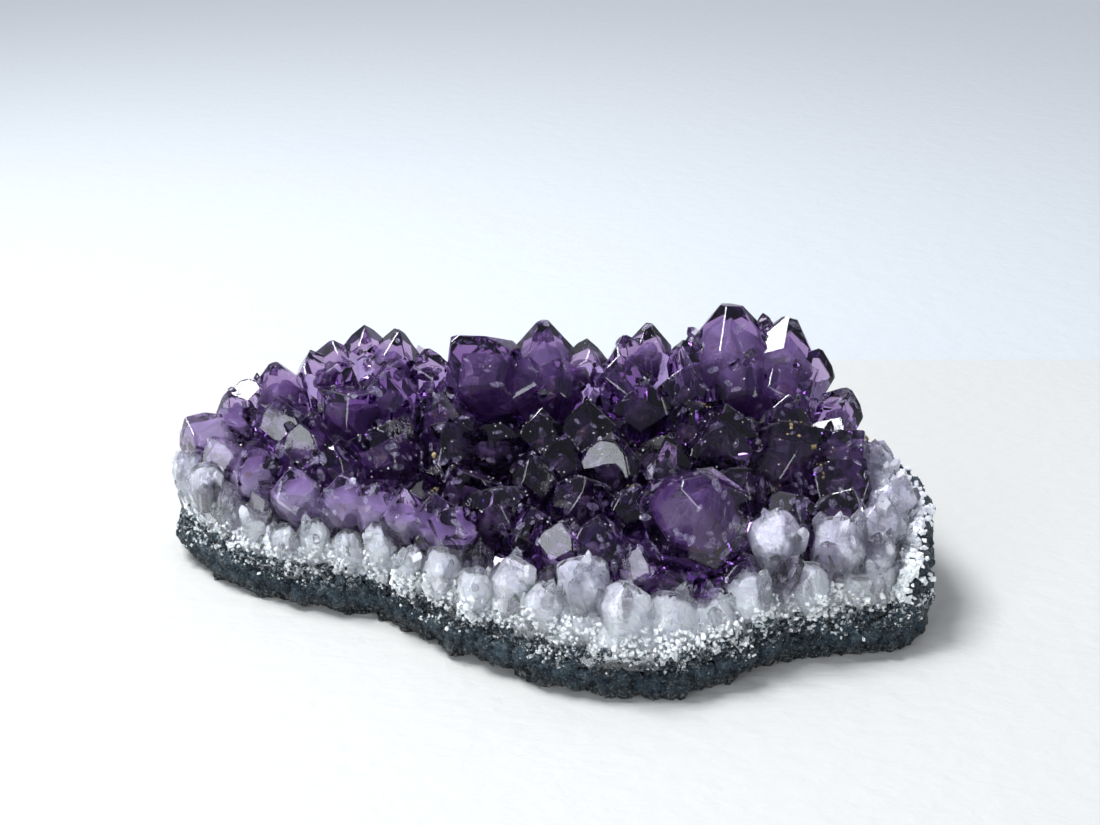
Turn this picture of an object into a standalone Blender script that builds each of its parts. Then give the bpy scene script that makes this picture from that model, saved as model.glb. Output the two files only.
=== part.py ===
"""Amethyst cluster: a slab of dark rock, the pale quartz that grew on it, and the crust of amethyst
crystals on top.

It lies on its flat underside. The origin is on the surface under it, below the middle of its outline.
+X runs along its length, +Y to its high back edge, and +Z up. Lengths below are in millimetres, and
turn into metres where a vertex is made.
"""

import math
import random

import bmesh
import bpy
from mathutils import Matrix, Vector, noise

MM = 0.001
GAP = 0.3  # kept between two pieces that lie against each other
SEED = 41

# The outline seen from above, anticlockwise from the left end.
OUTLINE = [
    (-72, 16), (-63, 5), (-52, -5), (-40, -9.5), (-30, -12), (-22, -18), (-14, -25), (-4, -31.5),
    (9, -38.5), (24, -38.5), (35, -33), (44, -27.5), (54, -25), (63, -24), (69, -16), (72, 0), (71, 13),
    (64, 26), (52, 35), (38, 39), (20, 37), (2, 39), (-18, 37), (-36, 35), (-52, 32), (-66, 27), (-71, 22),
]
CENTRE = (4.0, 4.0)  # the rings below close in on this point
SPOKES = 56  # points round each ring

# The dark rock: a rough slab whose edge stands up round the right end.
ROCK_TOP = 6.5
ROCK_RIM = 19.0  # height of the edge where it stands up
RIM_MIDDLE_DEG, RIM_HALF_DEG = -2, 13  # where that is, seen from the centre
ROCK_UNDERCUT = 3.2  # how far the underside is drawn in from the outline
FOOT_CORNERS = (1, 6, 14, 22, 26, 29, 34, 41, 46, 50, 53)  # spokes at the corners of the flat underside
FOOT_BOW = 0.3  # how far its edges bow in between them
ROCK_WALL = 2.0  # thickness of the standing edge

# The white quartz on it, whose top is a shallow dish.
BAND_FOOT = 5.6
BAND_EDGE = 14.5
BAND_BACK_RISE = 9.0  # how much higher its edge is at the back
BAND_MIDDLE = 11.5
EDGE_ROOT = 7.6  # height of the roots of the crystals round its edge

# The purple crust: a floor that rises to the back and falls off to the left end, and the crystals on it.
CRUST_FRONT_Y, CRUST_FRONT_TOP = -36, 13.4
CRUST_RISE = 0.14  # millimetres up for each millimetre towards the back
CRUST_LEFT_TOP = 16.0  # its height at the left end of the outline
CRUST_INSET = 8.0  # from the outline
RIDGE_LENGTH, CRUST_LENGTH = 22.0, 16.0  # of the crystals at the back and of the rest, from tip to root

# Quartz crystals end in six faces at this angle to the crystal's cross-section.
FACE_SLOPE = math.radians(51.8)

# Amethyst crystals, each as its tip's x, y and z, its half width, and its lean to +X and to +Y in degrees.
# A seventh number is how much of its tip is broken off.
BACK_RIDGE = [
    (-58, 27, 32, 4.8, -14, 14), (-52, 27, 34.5, 8.4, -6, -4, 1.2), (-45, 30, 36.5, 6.0, -10, 12),
    (-41, 32, 38, 6.6, -6, 8), (-35, 35, 40, 6.0, -4, 14), (-28, 33, 39.5, 6.8, 8, 10, 1.0),
    (-17, 25, 41.5, 13.0, -30, -8), (-2, 23, 37.5, 6.4, 2, -8), (5, 24, 37, 7.0, 12, -6),
    (1, 34, 41, 10.0, 0, 8, 1.2), (10, 31, 38.5, 6.2, 4, 12), (17, 31, 39.5, 5.8, -8, 12),
    (22, 34, 40.5, 6.6, 2, 10, 0.8), (16, 26, 37.5, 7.8, -6, -2), (38, 32, 45.2, 11.6, -2, 4, 2.2),
    (50, 32, 42.5, 8.6, 12, 10, 1.4), (56, 28, 37.5, 5.6, 24, 10), (35, 30, 42, 10.2, -8, -12),
    (29, 28, 39.5, 5.6, -6, 4), (-10, 34, 37, 6.2, 8, 16), (-22, 33, 36, 6.0, -2, 16),
]
HOLLOW = [
    (-69, 20, 26, 6.8, -36, -6), (-61, 24, 30, 5.8, -18, -10), (-29, 23, 36, 7.0, 8, -8),
    (-36, 15, 33, 9.2, 4, -40), (-29, 8, 30, 10.6, 0, -28), (-45, 10, 29.5, 7.8, -6, -24),
    (-38, 4, 27.5, 6.8, 0, -26), (-18, 6, 31, 7.0, -10, -22), (-14, 10, 31, 6.2, 6, -10),
    (-8, 5, 31, 6.6, 0, -30), (-13, -6, 27.5, 7.4, -8, -26), (0, -3, 29, 6.2, 4, -18),
    (5, 4, 30, 6.8, 6, -10), (9, 13, 32.5, 7.4, -6, -8), (20, 18, 34.5, 8.4, 0, -18),
    (13, 3, 30.5, 9.0, -4, -20), (9, -10, 27.5, 6.8, 6, -24), (29, 13, 32.5, 6.6, -4, -12),
    (24, 3, 29, 6.8, 6, -18), (35, 8, 33, 10.8, 4, -24), (-19, 16, 33, 7.0, -4, -8),
    (41, 22, 37.5, 7.8, 6, -20), (55, 24, 34.5, 9.2, 46, -8), (61, 20, 32, 6.6, 26, 2),
    (61, 7, 29, 6.6, 28, -6), (49, 4, 32, 14.0, 4, -26), (59, -2, 27.5, 8.0, 24, -16),
    (47, 15, 33, 7.4, 0, -6), (0, 12, 31.5, 6.6, 0, -4), (-50, 18, 31.5, 7.0, -10, -10),
    (57, 12, 30, 6.8, 18, 6), (28, 22, 36.5, 6.8, -2, -8),
]
FRONT_RANK = [
    (-54, 5, 26.5, 7.0, -10, -14), (-45, -2, 25.5, 7.4, -6, -14), (-35, -5, 25.5, 7.4, -2, -12),
    (-29, -7, 25, 5.4, 2, -12), (-24, -10, 25.5, 6.6, -2, -14), (-18, -13, 26, 5.4, 0, -12),
    (-14, -17, 25.5, 5.6, 4, -14), (-7, -14, 28, 8.6, -2, -18), (-1, -19, 26, 5.6, 8, -12),
    (4, -22.5, 25.5, 5.6, -4, -14), (11, -23, 26, 7.8, 2, -16), (17, -27, 23, 6.0, -6, -16),
    (27.5, -20.5, 30.5, 16.4, -2, -32, 3.2), (45, -14, 26.5, 6.4, 2, -20), (39, -17, 24, 5.6, -4, -14),
    (55, -12, 26, 6.4, 10, -16), (-62, 12, 25.5, 5.8, -18, -12), (17, -10, 26, 6.0, 4, -20),
    (38, -4, 27, 6.6, 6, -18), (36, -26, 20, 5.4, 6, -20), (22, -29, 19.5, 5.0, -2, -22),
    (29, -29, 17.5, 4.8, 2, -16),
]

# Pale quartz crystals round the edge of the band: tip x, y, z, half width and lean, as above.
FRONT_EDGE = [
    (-69, 15, 21.5, 4.6, -18, -6), (-64, 8, 22, 4.2, -14, -12), (-58, 3, 17.5, 4.0, -8, -16),
    (-52, -2, 19, 3.8, -6, -12), (-46, -6, 16.5, 4.0, -6, -14), (-40, -7.5, 18.5, 3.6, 2, -12),
    (-34, -9.5, 17, 4.0, 0, -14), (-28, -11.5, 19, 3.8, -4, -12), (-22, -17, 17.5, 3.8, 4, -14),
    (-16, -21.5, 20, 4.0, 0, -14), (-10, -26, 18.5, 4.0, 2, -14), (-4, -28, 21.5, 4.4, -4, -12),
    (2, -32.5, 19, 4.4, 4, -14), (8, -31, 23.5, 5.6, 0, -14), (15, -35, 21, 5.0, 2, -12),
    (22, -34, 18, 5.2, -4, -16), (30, -33, 15.5, 4.8, 4, -20), (36, -29, 18.5, 5.0, 4, -18),
    (41, -20, 26.5, 5.4, -4, -12), (47, -25, 19, 4.6, 2, -16), (53, -20, 25, 5.8, 4, -14),
    (60, -19, 20.5, 4.4, 10, -16), (62, -13, 24.5, 4.8, 12, -8), (66, -4, 25.5, 5.0, 16, 0),
    (67, 5, 23, 4.6, 16, 0), (66, 13, 24.5, 5.0, 20, 6),
]
BACK_EDGE = [
    (61, 24, 24, 5.2, 22, 22), (51, 33, 29, 6.2, 12, 22), (39, 37, 31, 6.2, 4, 20),
    (27, 36, 29.5, 6.0, -2, 20), (15, 35, 31, 6.2, 2, 20), (3, 37, 29.5, 6.0, 0, 20),
    (-9, 37, 31, 6.2, -2, 20), (-21, 36, 28.5, 6.0, 0, 20), (-33, 34, 30, 6.2, -2, 20),
    (-46, 32, 26.5, 6.0, -10, 22), (-58, 27, 23, 5.4, -16, 22), (-67, 23, 20, 4.4, -28, 10),
]

# How much narrower each kind of crystal is at its root than at its shoulder.
ROOT_SHARE = {"ridge": 0.62, "hollow": 0.8, "front": 0.6, "edge": 0.88}


def clear_scene():
    for obj in list(bpy.data.objects):
        bpy.data.objects.remove(obj, do_unlink=True)


def material(name, colour, roughness, transmission=0.0):
    made = bpy.data.materials.new(name)
    made.use_nodes = True
    shader = made.node_tree.nodes["Principled BSDF"]
    shader.inputs["Base Color"].default_value = (*colour, 1.0)
    shader.inputs["Roughness"].default_value = roughness
    shader.inputs["Metallic"].default_value = 0.0
    shader.inputs["Transmission Weight"].default_value = transmission
    shader.inputs["IOR"].default_value = 1.54
    return made


def link(name, bm, finish=None):
    """Turns a bmesh into an object of the scene."""
    mesh = bpy.data.meshes.new(name)
    bm.to_mesh(mesh)
    bm.free()
    obj = bpy.data.objects.new(name, mesh)
    bpy.context.scene.collection.objects.link(obj)
    if finish:
        mesh.materials.append(finish)
    return obj


def spline_point(points, t):
    """A point of the closed Catmull-Rom curve through points, for t from 0 to 1."""
    count = len(points)
    at = (t % 1.0) * count
    i, u = int(at), at - int(at)
    a, b, c, d = (Vector(points[(i + k) % count]) for k in (-1, 0, 1, 2))
    return 0.5 * (2 * b + (c - a) * u + (2 * a - 5 * b + 4 * c - d) * u**2 + (3 * b - a - 3 * c + d) * u**3)


def outline_radii():
    """The outline's distance from CENTRE along each spoke, and the spokes' angles."""
    fine = [spline_point(OUTLINE, k / 1200) - Vector(CENTRE) for k in range(1200)]
    polar = sorted((math.atan2(p.y, p.x) % math.tau, p.length) for p in fine)
    radii = []
    for k in range(SPOKES):
        angle = math.tau * k / SPOKES
        radii.append(min(polar, key=lambda pair: abs(pair[0] - angle))[1])
    return radii


RADII = outline_radii()


def smooth_bump(angle_deg, middle, half, fade):
    """1 within half degrees of middle, fading to 0 over the next fade degrees."""
    away = abs((angle_deg - middle + 180) % 360 - 180)
    share = min(max((half + fade - away) / fade, 0.0), 1.0)
    return share * share * (3 - 2 * share)


def standing_edge(spoke):
    """How far up the rock's edge stands at a spoke, from 0 to 1."""
    return smooth_bump(360 * spoke / SPOKES, RIM_MIDDLE_DEG, RIM_HALF_DEG, 13)


def walled(spoke):
    """As standing_edge, but wider, so that the quartz is clear of the wall before the wall rises."""
    return smooth_bump(360 * spoke / SPOKES, RIM_MIDDLE_DEG, RIM_HALF_DEG + 14, 12)


def rough(x, y, z, size, depth):
    """A random height of up to about depth, in lumps of that size."""
    return depth * noise.noise(Vector((x, y, z)) / size + Vector((SEED, 3.7, 1.3)))


def ring_point(spoke, inset, z, lumps=0.0, size=7.0, lift=0.0):
    """A point inset from the outline along a spoke and pushed in or out by lumps, raised by lift."""
    angle = math.tau * spoke / SPOKES
    along = Vector((math.cos(angle), math.sin(angle)))
    edge = Vector(CENTRE) + along * RADII[spoke]
    reach = max(RADII[spoke] - inset - rough(edge.x, edge.y, z, size, lumps), 0.5)
    return Vector((CENTRE[0] + along.x * reach, CENTRE[1] + along.y * reach, z + lift))


def foot_ring():
    """The edge of the flat underside: straight from corner to corner but for a slight bow inwards."""
    corners = [ring_point(k, ROCK_UNDERCUT, 0.0).to_2d() for k in FOOT_CORNERS]
    ring = []
    for spoke in range(SPOKES):
        passed = sum(corner <= spoke for corner in FOOT_CORNERS)
        start, end = corners[passed - 1], corners[passed % len(corners)]
        angle = math.tau * spoke / SPOKES
        along = Vector((math.cos(angle), math.sin(angle)))
        reach = (start - Vector(CENTRE)).cross(end - start) / along.cross(end - start)
        bow = 0.0 if spoke in FOOT_CORNERS else FOOT_BOW
        ring.append((Vector(CENTRE) + along * (reach - bow)).to_3d())
    return ring


def loft(rings):
    """A closed solid through rings of points, from its underside up and in to the middle of its top."""
    bm = bmesh.new()
    rows = [[bm.verts.new(p * MM) for p in ring] for ring in rings]
    for low, high in zip(rows, rows[1:]):
        for k in range(SPOKES):
            following = (k + 1) % SPOKES
            bm.faces.new((low[k], low[following], high[following]))
            bm.faces.new((low[k], high[following], high[k]))
    bm.faces.new(list(reversed(rows[0])))
    middle = bm.verts.new(sum((v.co for v in rows[-1]), Vector()) / SPOKES)
    for k in range(SPOKES):
        bm.faces.new((rows[-1][k], rows[-1][(k + 1) % SPOKES], middle))
    return bm


def rock_solid():
    """The slab before the quartz is let into it: flat below, rough at the sides, with its standing edge."""
    spokes = range(SPOKES)
    top = [ROCK_TOP + (ROCK_RIM - ROCK_TOP) * standing_edge(k) + rough(k, 0, 9, 2, 1.6) for k in spokes]
    rings = [
        foot_ring(),
        [ring_point(k, 1.2, 1.0, 2.0, 4) for k in spokes],
        [ring_point(k, 0.3, 2.8, 1.6, 5) for k in spokes],
        [ring_point(k, 0.1, 2.8 + 0.5 * (top[k] - 2.8), 1.2, 5) for k in spokes],
        [ring_point(k, 0.6, top[k], 0.8, 4) for k in spokes],
        [ring_point(k, ROCK_WALL, top[k] - 0.4) for k in spokes],
        [ring_point(k, ROCK_WALL + 1.0, min(top[k] - 0.4, ROCK_TOP)) for k in spokes],
    ]
    return loft(rings)


def band_inset(spoke):
    return 0.6 + (ROCK_WALL - 0.4) * walled(spoke)


def band_rings(grow):
    """The quartz band's rings. grow enlarges it by that much all round, to cut its seat."""
    spokes = range(SPOKES)
    back = [smooth_bump(360 * k / SPOKES, 100, 50, 45) for k in spokes]
    edge = [BAND_EDGE + BAND_BACK_RISE * back[k] + rough(k, 5, 2, 4, 1.6) for k in spokes]
    dish = [(12.0, 0.6), (24.0, 0.0)]

    def side(spoke, inset, z, lumps, lift=0.0):
        return ring_point(spoke, band_inset(spoke) + inset - grow, z, lumps, 4, lift)

    rings = [
        [side(k, 0.3, BAND_FOOT, 0.6, -grow) for k in spokes],
        [side(k, 1.0 - 0.6 * walled(k), 9.0, 1.8) for k in spokes],
        [side(k, 3.4 - 2.0 * walled(k), edge[k], 1.4, grow) for k in spokes],
    ]
    for inset, share in dish:
        level = [BAND_MIDDLE + (edge[k] - BAND_MIDDLE) * share for k in spokes]
        rings.append([ring_point(k, inset, level[k], lift=grow) for k in spokes])
    return rings


def crust_ground(point):
    """How high the crust's floor is at a point."""
    rising = CRUST_FRONT_TOP + CRUST_RISE * (point.y - CRUST_FRONT_Y)
    falling = CRUST_LEFT_TOP + 0.3 * (point.x - OUTLINE[0][0])
    return min(rising, falling)


def crust_rings():
    """The crust's floor, which starts inside the band and is cut back to its top."""

    def over_ground(spoke, inset, above):
        point = ring_point(spoke, inset, 0.0)
        return Vector((point.x, point.y, crust_ground(point) + above))

    spokes = range(SPOKES)
    return [
        [ring_point(k, CRUST_INSET, BAND_MIDDLE - 1.0) for k in spokes],
        [over_ground(k, CRUST_INSET, -1.5) for k in spokes],
        [over_ground(k, CRUST_INSET + 3.0, 0.0) for k in spokes],
        [over_ground(k, CRUST_INSET + 18.0, 0.0) for k in spokes],
    ]


def fill_cut(bm, cut):
    """Closes the hole that a bisecting plane left."""
    edges = [item for item in cut["geom_cut"] if isinstance(item, bmesh.types.BMEdge)]
    bmesh.ops.edgeloop_fill(bm, edges=edges)


def crystal(name, spec, length, root_share, choose, grow=0.0):
    """One quartz crystal: a six-sided prism whose end is cut by six sloping faces.

    spec is its tip, half width and lean, and how much of its tip is broken off, if any. length is how far
    down its root is, whose width is root_share of the crystal's. The six end faces stop at different
    depths, as in nature, so three of them are large, but a broken tip is worn evenly."""
    x, y, z, half, lean_x, lean_y, *broken = spec
    axis = Vector((math.tan(math.radians(lean_x)), math.tan(math.radians(lean_y)), 1.0)).normalized()
    length = length / axis.z + 2 * grow
    half += grow
    bm = bmesh.new()
    bmesh.ops.create_cone(
        bm, cap_ends=True, segments=6, radius1=half * root_share, radius2=half, depth=length,
        matrix=Matrix.Translation((0, 0, -length / 2 + grow)),
    )
    squeeze = choose.uniform(0.82, 1.0)
    bmesh.ops.scale(bm, vec=(1.0, squeeze, 1.0), verts=bm.verts)
    spread = (0.0, 0.2) if broken else (0.22, 0.6)
    depths = [choose.uniform(0.0, 0.12) if k % 2 else choose.uniform(*spread) for k in range(6)]
    for k, depth in enumerate(depths):
        around = math.radians(60 * k + 30)
        flat = math.sin(FACE_SLOPE)
        normal = Vector((flat * math.cos(around), flat * math.sin(around), math.cos(FACE_SLOPE)))
        start = Vector((0, 0, grow / math.cos(FACE_SLOPE))) - normal * (half - grow) * depth * 0.5
        geometry = bm.verts[:] + bm.edges[:] + bm.faces[:]
        cut = bmesh.ops.bisect_plane(bm, geom=geometry, plane_co=start, plane_no=normal, clear_outer=True)
        fill_cut(bm, cut)
    if broken:
        start = (0, 0, max(v.co.z for v in bm.verts) - broken[0])
        geometry = bm.verts[:] + bm.edges[:] + bm.faces[:]
        cut = bmesh.ops.bisect_plane(
            bm, geom=geometry, plane_co=start, plane_no=(0.12, 0.1, 1.0), clear_outer=True
        )
        fill_cut(bm, cut)
    bmesh.ops.dissolve_degenerate(bm, dist=0.02, edges=bm.edges)
    bmesh.ops.recalc_face_normals(bm, faces=bm.faces)
    bmesh.ops.translate(bm, vec=(0, 0, grow - max(v.co.z for v in bm.verts)), verts=bm.verts)
    turn = Matrix.Rotation(choose.uniform(0, math.tau), 4, "Z")
    place = Matrix.Translation(Vector((x, y, z)) * MM) @ axis.to_track_quat("Z", "Y").to_matrix().to_4x4()
    bmesh.ops.transform(bm, matrix=place @ Matrix.Scale(MM, 4) @ turn, verts=bm.verts)
    return link(name, bm)


def crystals(kind, specs, length, grow=0.0):
    """One object for each crystal. The same kind and specs give the same crystals, whatever grow is."""
    made = []
    for number, spec in enumerate(specs):
        choose = random.Random(f"{SEED} {kind} {number}")
        down = length or spec[2] - EDGE_ROOT
        made.append(crystal(f"{kind}_{number:02d}", spec, down, ROOT_SHARE[kind], choose, grow))
    return made


def combine(body, others, operation):
    """Joins others to body, or cuts them from it, and removes them."""
    group = bpy.data.collections.new("operands")
    for other in others:
        group.objects.link(other)
    modifier = body.modifiers.new("combine", "BOOLEAN")
    modifier.operation = operation
    modifier.operand_type = "COLLECTION"
    modifier.collection = group
    modifier.solver = "EXACT"
    modifier.use_self = True
    graph = bpy.context.evaluated_depsgraph_get()
    finished = bpy.data.meshes.new_from_object(body.evaluated_get(graph))
    body.modifiers.remove(modifier)
    body.data = finished
    bpy.data.collections.remove(group)
    for other in others:
        bpy.data.objects.remove(other, do_unlink=True)
    return body


def keep_largest_body(obj):
    """Drops the chips that a cut left beside the main body."""
    bm = bmesh.new()
    bm.from_mesh(obj.data)
    left, bodies = set(bm.verts), []
    while left:
        todo, body = [left.pop()], []
        while todo:
            vert = todo.pop()
            body.append(vert)
            for edge in vert.link_edges:
                other = edge.other_vert(vert)
                if other in left:
                    left.remove(other)
                    todo.append(other)
        bodies.append(body)
    bodies.sort(key=len)
    bmesh.ops.delete(bm, geom=[v for body in bodies[:-1] for v in body], context="VERTS")
    bm.to_mesh(obj.data)
    bm.free()


def tidy(obj):
    """Merges the points that a Boolean left closer than 0.002 mm, and the faces that lie in one plane."""
    bm = bmesh.new()
    bm.from_mesh(obj.data)
    bmesh.ops.remove_doubles(bm, verts=bm.verts, dist=0.002 * MM)
    bmesh.ops.dissolve_limit(bm, angle_limit=math.radians(0.5), verts=bm.verts, edges=bm.edges)
    bmesh.ops.dissolve_degenerate(bm, dist=0.001 * MM, edges=bm.edges)
    bmesh.ops.triangulate(bm, faces=bm.faces, quad_method="FIXED", ngon_method="EAR_CLIP")
    bm.to_mesh(obj.data)
    bm.free()


def centre_on_origin(objects):
    """Moves everything so that the origin is below the middle of its bounding box."""
    points = [vert.co for obj in objects for vert in obj.data.vertices]
    middle = [(min(p[i] for p in points) + max(p[i] for p in points)) / 2 for i in (0, 1)]
    for obj in objects:
        obj.data.transform(Matrix.Translation((-middle[0], -middle[1], 0.0)))


def build():
    clear_scene()
    dark_rock = material("dark_rock", (0.035, 0.05, 0.045), 0.6)
    white_quartz = material("white_quartz", (0.78, 0.78, 0.84), 0.3)
    amethyst = material("amethyst", (0.16, 0.05, 0.3), 0.08, transmission=0.6)

    quartz = quartz_solid("quartz_band", white_quartz)
    rock = link("rock_base", rock_solid(), dark_rock)
    combine(rock, [quartz_solid("rock_seat", grow=GAP)], "DIFFERENCE")
    crust = link("amethyst_crystals", loft(crust_rings()), amethyst)
    purple = crystals("ridge", BACK_RIDGE, RIDGE_LENGTH)
    purple += crystals("hollow", HOLLOW, CRUST_LENGTH)
    purple += crystals("front", FRONT_RANK, CRUST_LENGTH)
    combine(crust, purple, "UNION")
    combine(crust, [quartz_solid("crust_seat", grow=GAP)], "DIFFERENCE")
    for obj in (quartz, rock, crust):
        tidy(obj)
        keep_largest_body(obj)
    centre_on_origin((quartz, rock, crust))


def quartz_solid(name, finish=None, grow=0.0):
    """The quartz band with its crystals. Grown by the gap, it cuts the seats of what lies against it."""
    body = link(name, loft(band_rings(grow)), finish)
    return combine(body, crystals("edge", FRONT_EDGE + BACK_EDGE, None, grow), "UNION")


build()
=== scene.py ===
"""The looks of an amethyst cluster: the purple crust, the frosty quartz under it and the dark rock.

Lengths are in millimetres and turn into metres where they are used. The pieces keep the places of the
solids that they stand for.
"""

import math
import random
from contextlib import contextmanager

import bmesh
import bpy
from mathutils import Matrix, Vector
from mathutils.bvhtree import BVHTree


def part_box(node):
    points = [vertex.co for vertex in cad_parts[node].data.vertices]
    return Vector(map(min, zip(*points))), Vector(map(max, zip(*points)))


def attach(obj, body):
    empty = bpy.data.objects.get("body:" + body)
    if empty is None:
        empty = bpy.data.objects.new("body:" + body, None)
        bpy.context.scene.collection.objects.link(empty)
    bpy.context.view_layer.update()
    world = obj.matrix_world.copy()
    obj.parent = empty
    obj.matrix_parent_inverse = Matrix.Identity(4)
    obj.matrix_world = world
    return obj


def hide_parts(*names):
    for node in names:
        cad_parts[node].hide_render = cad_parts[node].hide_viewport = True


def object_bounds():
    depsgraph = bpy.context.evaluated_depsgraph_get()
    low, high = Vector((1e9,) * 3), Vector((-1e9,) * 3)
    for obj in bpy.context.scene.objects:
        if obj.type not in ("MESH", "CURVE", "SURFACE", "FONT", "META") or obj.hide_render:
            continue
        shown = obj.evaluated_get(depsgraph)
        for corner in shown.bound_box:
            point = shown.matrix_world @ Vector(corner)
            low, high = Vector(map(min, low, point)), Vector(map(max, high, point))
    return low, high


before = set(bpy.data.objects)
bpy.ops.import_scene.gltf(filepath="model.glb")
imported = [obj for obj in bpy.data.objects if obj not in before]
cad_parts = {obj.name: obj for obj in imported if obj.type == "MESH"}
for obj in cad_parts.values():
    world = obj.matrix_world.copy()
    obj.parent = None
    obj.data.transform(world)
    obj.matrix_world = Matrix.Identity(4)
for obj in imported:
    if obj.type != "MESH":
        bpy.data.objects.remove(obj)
solid_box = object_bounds()

MM = 0.001
SEED = 41
QUARTZ_IOR = 1.544
POINT_SLOPE_DEG = 51.8  # between a quartz crystal's end faces and its cross-section

# The camera stands in front of the cluster and looks down at it.
CAMERA_PLACE_MM = (1.8, -249.3, 141.0)
CAMERA_DOWN_DEG = 23.0
LENS_MM, SENSOR_MM = 49.1, 36.0

# The sheet of paper that it lies on, and the ground under and behind that.
PAPER_HALF_MM = 1500.0
PAPER_BACK_MM = 118.0
PAPER_LEVEL_MM = -0.05
GROUND_HALF_MM = 6000.0
GROUND_LEVEL_MM = -1.2

# Each lamp's place, aim, width and height, watts and colour. The far wash only lights what lies behind.
LAMPS = {
    "window": ((-270, 70, 660), (0, 0, 10), (300, 280), 6.5, (0.94, 0.97, 1.0)),
    "left_front": ((-420, -560, 210), (0, 0, 15), (400, 330), 2.7, (0.90, 0.95, 1.0)),
    "right_front": ((470, -600, 260), (0, 0, 15), (340, 300), 1.4, (0.93, 0.96, 1.0)),
    "far_wash": ((0, 1350, 900), (0, 1351, 0), (5000, 1900), 22.0, (0.95, 0.97, 1.0)),
}
ROOM_COLOUR, ROOM_LIGHT = (0.82, 0.87, 1.0), 0.33
LIGHT_BOUNCES, GLASS_BOUNCES = 20, 16

# The crust's faces: how wide its chamfers are, and the low steps that some large faces have.
CHAMFER_MM = 0.26
CHIP_MM = (0.9, 2.0)  # how much of a tip is broken off
CHIPPED_SHARE = 0.4
STEP_INSET_MM = (0.7, 1.6)
STEP_HEIGHT_MM = 0.1
STEPPED_SHARE = 0.3
STEPPED_FACE_MM2 = 14.0
CRYSTAL_MM = 9.0  # from a crystal's tip to where its root starts

# The cloudy stone inside the crust: how far under the faces it starts, and its lumps' size and height.
HEART_DEPTH_MM = 3.3
HEART_GRAIN_MM = 0.5
HEART_LUMPS_MM = (6.0, 2.4)
HEART_FLAT_DEG = 13

# The milky roots along the front: how high, how far in and how far to each side they reach, and how deep
# they start.
ROOT_TOP_MM = 21.0
ROOT_TOP_SLOPE = 0.12
ROOT_REACH_MM = 11.0
ROOT_SIDES_MM = (-58, 56)
ROOT_DEPTH_MM = 1.2
ROOT_GRAIN_MM = 0.55
ROOT_LUMPS_MM = (4.0, 1.0)
ROOT_FLAT_DEG = 14

# The quartz band and the rock under it.
BAND_FOOT_MM = 5.6  # where the quartz starts, above the rock's dish
BAND_CENTRE_MM = (4.0, 4.0)
CORE_DEPTH_MM = 1.1  # how far under the band's faces its white core starts
QUARTZ_GRAIN_MM = 0.62
ROCK_GRAIN_MM = 0.62
WALL_LEFT_MM = 50.0  # where the rock's standing edge starts, at the right end
WALL_FOOT_MM = 9.5
WALL_BARE_MM = 3.2  # how much of its top stays bare rock

# The front edge seen from above, and how far in from there the pale rim reaches and where it ends.
FRONT_LINE_MM = [(-70, 9), (-52, -6), (-33, -12), (-4, -31), (16, -38.5), (26, -37), (44, -28), (66, -22)]
RIM_DEPTH_MM = (7, 15)
LEFT_END_MM = (-46, -62)  # where the left end starts to turn pale, and where it is pale
DARK_MIDDLE_MM = ((-37, 67), (-22, 24))  # the dark middle's reach in x and in y
BIG_CRYSTAL_MM = (27.2, -24.5, 23.5)  # the middle of the largest crystal at the front
BIG_REACH_MM = (11, 14.5)

# The pale, clear crystals of the ridge: x, y, z and reach.
PALE_SPOTS_MM = [
    (38, 32, 40, 13), (1, 29, 37, 6), (51, 33, 36, 8), (60, 22, 30, 6), (-34, 31, 33, 6), (22, 33, 36, 5),
]

# Where ochre crumbs and white dust lie in the valleys, as x and y.
OCHRE_SPOTS_MM = [(-18, 3), (17, -6), (20, -5), (47, 5), (48, 3), (51, -2), (62, 9), (31, 14)]
DUST_SPOTS_MM = [(-30, 5), (-10, 0), (10, 5), (30, 8), (48, 5), (5, -12), (0, 18), (-45, 8)]

# Rows of pale crystals along the front: from, to, how many, their length and their width.
PETAL_ROWS = [
    ((-67, 12, 12), (-55, 2, 11.5), 5, 10.0, 4.6),
    ((-54, 1, 11.5), (-34, -5, 11), 8, 11.5, 4.6),
    ((-33, -6, 11), (-21, -12, 11), 6, 10.5, 4.2),
    ((-20, -13, 11), (-6, -24, 11), 7, 11.5, 4.2),
    ((-3, -24, 10.5), (12, -30, 10), 7, 12.5, 5.6),
    ((14, -31, 9.5), (33, -29, 9), 8, 8.5, 5.0),
    ((38, -24, 10), (62, -16, 11), 9, 11.5, 4.6),
]

# The tints of the clear stone, in the dark middle, elsewhere and along the pale rim, and what it absorbs.
STONE_TINTS = ((0.50, 0.38, 0.62), (0.84, 0.76, 0.90), (0.96, 0.94, 0.98))
PETAL_TINTS = ((0.74, 0.62, 0.86), (0.80, 0.70, 0.89), (0.93, 0.90, 0.97))
STONE_ABSORB = (0.48, 0.25, 0.64)
STONE_DENSITY, PETAL_DENSITY = 165.0, 35.0
QUARTZ_ABSORB, QUARTZ_DENSITY = (0.80, 0.74, 0.92), 2.0

# The colours of the cloudy stone, by where it lies, and of what is in it.
HEART_DEEP = (0.006, 0.002, 0.016)
HEART_MIDDLE = (0.14, 0.07, 0.21)
HEART_RIM = (0.48, 0.40, 0.60)
HEART_ROOT = (0.80, 0.80, 0.90)
HEART_CLOUD = (0.50, 0.40, 0.64)
HEART_VEIL = (0.80, 0.76, 0.88)
HEART_RUST = (0.30, 0.16, 0.10)

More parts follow.
